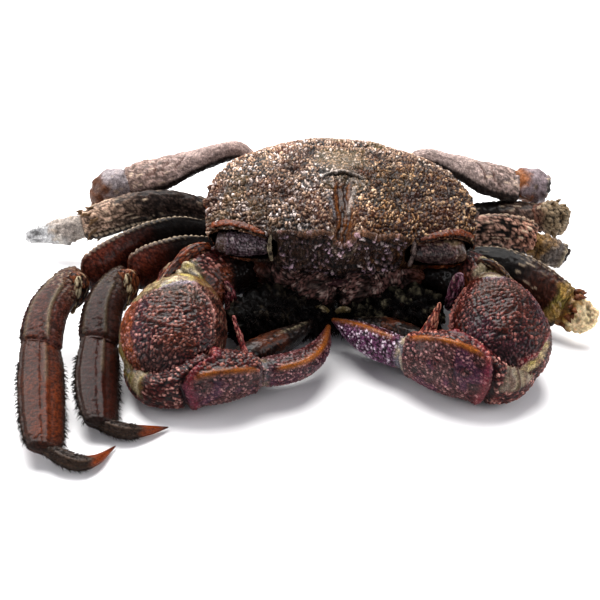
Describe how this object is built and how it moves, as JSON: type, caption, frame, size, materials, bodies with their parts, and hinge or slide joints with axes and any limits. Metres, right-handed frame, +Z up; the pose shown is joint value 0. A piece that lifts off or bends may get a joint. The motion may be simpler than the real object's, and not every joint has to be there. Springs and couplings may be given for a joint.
{
  "type": "salted crab",
  "caption": "Whole salted mangrove crab lying flat, square ridged shell, folded claws, long legs on one side and broken stumps on the other.",
  "frame": {"origin": "under the middle of the whole crab's outline, on the surface it lies on", "axes": "+X to the right of someone facing the crab, +Y from its mouth to its tail end, +Z up"},
  "size_m": [0.0926, 0.0726, 0.022],
  "materials": {
    "shell": "wet, rough brown shell",
    "underside": "damp dull brown shell",
    "claw": "wet, grainy dark red shell",
    "leg": "damp brown shell with dark edges",
    "eye": "wet, almost black",
    "flesh": "damp yellow flesh"
  },
  "bodies": {
    "root": {"carapace": "shell", "claw_arm_left": "claw", "claw_arm_right": "claw", "claw_finger_left": "claw", "claw_finger_right": "claw", "claw_palm_left": "claw", "claw_palm_right": "claw", "claw_wrist_left": "claw", "claw_wrist_right": "claw", "eyestalk_left": "eye", "eyestalk_right": "eye", "leg_left_1_knee": "leg", "leg_left_1_shin": "leg", "leg_left_1_thigh": "leg", "leg_left_1_toe": "leg", "leg_left_2_knee": "leg", "leg_left_2_shin": "leg", "leg_left_2_thigh": "leg", "leg_left_2_toe": "leg", "leg_left_3_stump": "leg", "leg_left_3_thigh": "leg", "leg_left_4_stump": "leg", "leg_left_4_thigh": "leg", "leg_right_1_stump": "flesh", "leg_right_1_thigh": "leg", "leg_right_2_stump": "leg", "leg_right_2_thigh": "leg", "leg_right_3_stump": "leg", "leg_right_3_thigh": "leg", "leg_right_4_stump": "leg", "leg_right_4_thigh": "leg", "mouthpart_left": "underside", "mouthpart_right": "underside", "underside": "underside"}
  },
  "joints": []
}
